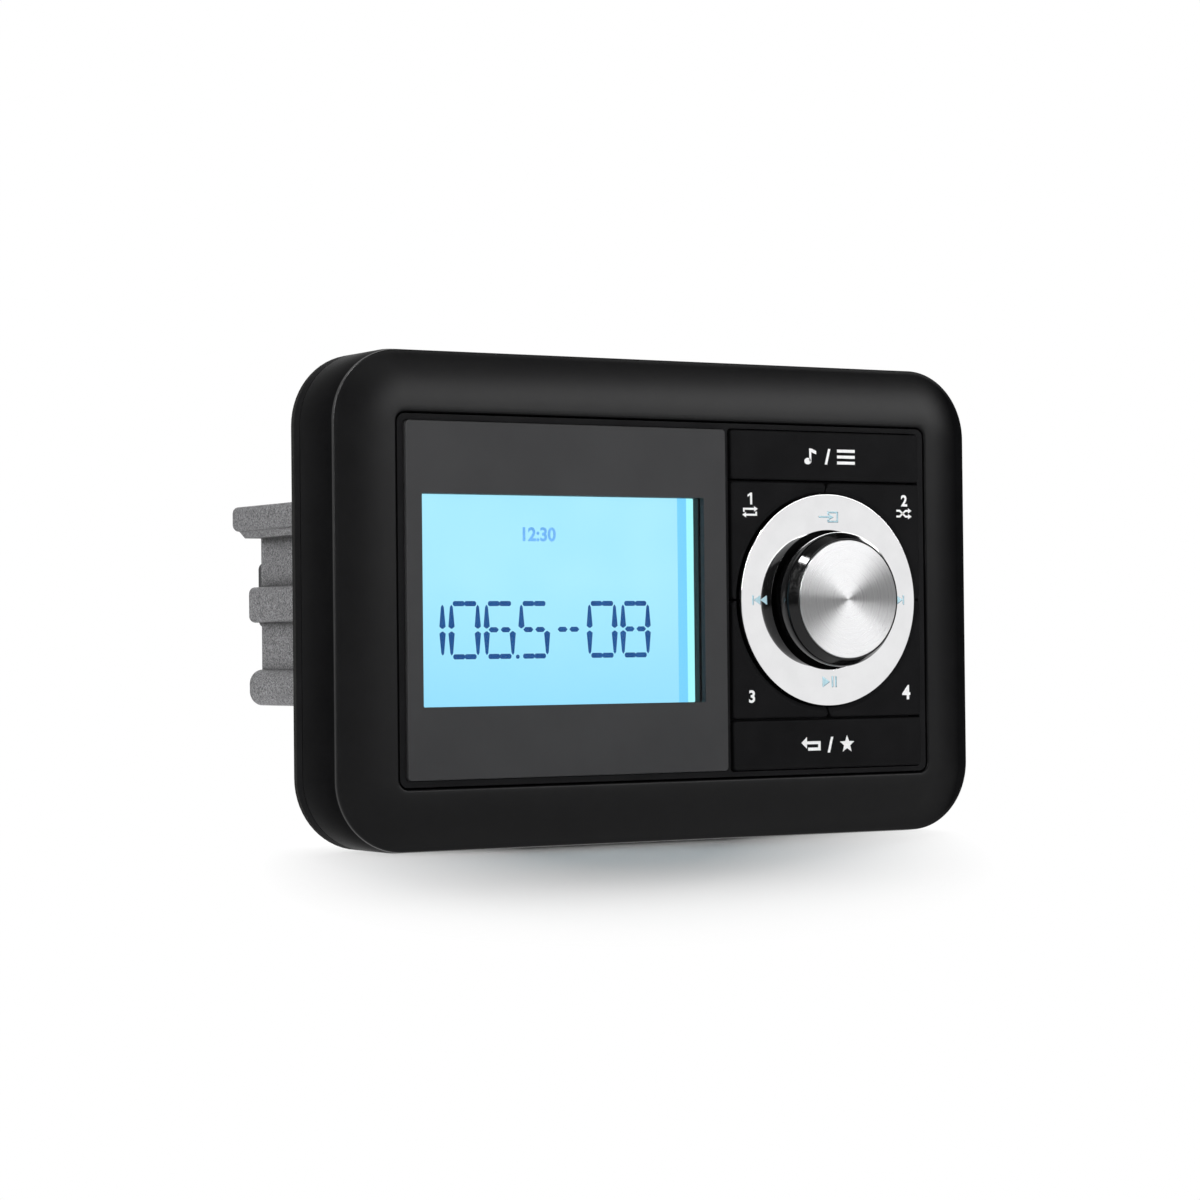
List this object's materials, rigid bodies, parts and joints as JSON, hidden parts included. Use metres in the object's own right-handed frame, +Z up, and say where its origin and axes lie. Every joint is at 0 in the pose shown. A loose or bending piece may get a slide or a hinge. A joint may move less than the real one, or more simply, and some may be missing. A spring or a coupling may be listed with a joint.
{
  "type": "marine stereo",
  "caption": "Panel-mounted marine radio receiver with a lit display window, push-and-turn knob, rocking ring, press keys, clip-on trim and a ribbed heat sink body.",
  "frame": {"origin": "centre of the four panel screws, on the face that lies against the panel", "axes": "+X right and +Z up seen from the front, +Y through the panel to the back; the display, keys and knob face -Y"},
  "size_m": [0.15, 0.0887, 0.097],
  "materials": {
    "trim_plastic": "fine satin texture",
    "flange_plastic": "fine matt texture",
    "frame_plastic": "satin",
    "fascia_plastic": "smooth, hard coated",
    "clear_pane": "clear, polished",
    "display_glass": "lit from behind",
    "key_plastic": "fine matt texture",
    "silver_ring": "plated, polished",
    "knob_plastic": "polished",
    "brushed_cap": "brushed in circles",
    "cast_aluminium": "sand grained casting",
    "black_steel": "powder coated",
    "plated_steel": "zinc plated",
    "turned_brass": "turned",
    "can_aluminium": "drawn can",
    "copper_wire": "enamelled wire",
    "circuit_board": "solder mask",
    "black_plastic": "moulded",
    "white_plastic": "moulded",
    "fuse_plastic": "clear tinted",
    "black_rubber": "closed-cell foam",
    "grey_rubber": "silicone"
  },
  "bodies": {
    "root": {"front_trim": "trim_plastic", "mounting_flange": "flange_plastic", "panel_gasket": "black_rubber", "front_housing": "frame_plastic", "display_fascia": "fascia_plastic", "display_window": "clear_pane", "fascia_tape": "black_rubber", "lcd_holder": "black_plastic", "lcd_glass": "display_glass", "lcd_contact_strips": "grey_rubber", "light_guide": "white_plastic", "backlight_leds": "white_plastic", "front_board": "circuit_board", "tact_switches": "black_plastic", "ring_switch_buttons": "black_plastic", "encoder_case": "black_plastic", "encoder_bushing": "turned_brass", "encoder_washer": "plated_steel", "encoder_nut": "plated_steel", "heat_sink": "cast_aluminium", "chassis_seal": "black_rubber", "main_board": "circuit_board", "amplifier_chip": "black_plastic", "thermal_pad": "grey_rubber", "chip_clamp": "plated_steel", "capacitors": "can_aluminium", "choke_coil": "copper_wire", "tuner_module": "plated_steel", "wireless_module": "plated_steel", "cable_sockets": "white_plastic", "flat_cable": "white_plastic", "rear_plate": "black_steel", "harness_socket": "black_plastic", "harness_pins": "turned_brass", "aerial_socket": "turned_brass", "line_sockets": "black_plastic", "fuse_holder": "black_plastic", "blade_fuse": "fuse_plastic", "board_screws": "plated_steel", "case_screws": "plated_steel", "housing_screws": "plated_steel"},
    "key_1": {"key_1": "key_plastic", "key_1_button": "black_plastic"},
    "key_2": {"key_2": "key_plastic", "key_2_button": "black_plastic"},
    "key_3": {"key_3": "key_plastic", "key_3_button": "black_plastic"},
    "key_4": {"key_4": "key_plastic", "key_4_button": "black_plastic"},
    "upper_bar_key": {"upper_bar_key": "key_plastic", "upper_bar_key_button": "black_plastic"},
    "lower_bar_key": {"lower_bar_key": "key_plastic", "lower_bar_key_button": "black_plastic"},
    "push": {"encoder_plunger": "black_plastic"},
    "knob": {"encoder_shaft": "plated_steel", "knob_body": "knob_plastic", "knob_cap": "brushed_cap"},
    "ring_carrier": {"ring_gimbal": "black_plastic"},
    "ring": {"ring_base": "black_plastic", "ring_face": "silver_ring"}
  },
  "joints": [
    {"name": "knob_push", "type": "slide", "parent": "root", "child": "push", "axis": [0, 1, 0], "range_m": [0, 0.0005], "stiffness_N_per_m": 3000},
    {"name": "knob_spin", "type": "hinge", "parent": "push", "child": "knob", "pos_m": [0.037, -0.022, 0], "axis": [0, -1, 0], "continuous": true},
    {"name": "ring_up_down", "type": "hinge", "parent": "root", "child": "ring_carrier", "pos_m": [0.037, -0.0176, 0], "axis": [1, 0, 0], "range_deg": [-1.2, 1.2], "stiffness_Nm_per_rad": 1},
    {"name": "ring_left_right", "type": "hinge", "parent": "ring_carrier", "child": "ring", "pos_m": [0.037, -0.0176, 0], "axis": [0, 0, 1], "range_deg": [-1.2, 1.2], "stiffness_Nm_per_rad": 1},
    {"name": "key_1_press", "type": "slide", "parent": "root", "child": "key_1", "axis": [0, 1, 0], "range_m": [0, 0.0006], "stiffness_N_per_m": 2000},
    {"name": "key_2_press", "type": "slide", "parent": "root", "child": "key_2", "axis": [0, 1, 0], "range_m": [0, 0.0006], "stiffness_N_per_m": 2000},
    {"name": "key_3_press", "type": "slide", "parent": "root", "child": "key_3", "axis": [0, 1, 0], "range_m": [0, 0.0006], "stiffness_N_per_m": 2000},
    {"name": "key_4_press", "type": "slide", "parent": "root", "child": "key_4", "axis": [0, 1, 0], "range_m": [0, 0.0006], "stiffness_N_per_m": 2000},
    {"name": "upper_bar_key_press", "type": "slide", "parent": "root", "child": "upper_bar_key", "axis": [0, 1, 0], "range_m": [0, 0.0006], "stiffness_N_per_m": 2000},
    {"name": "lower_bar_key_press", "type": "slide", "parent": "root", "child": "lower_bar_key", "axis": [0, 1, 0], "range_m": [0, 0.0006], "stiffness_N_per_m": 2000}
  ]
}
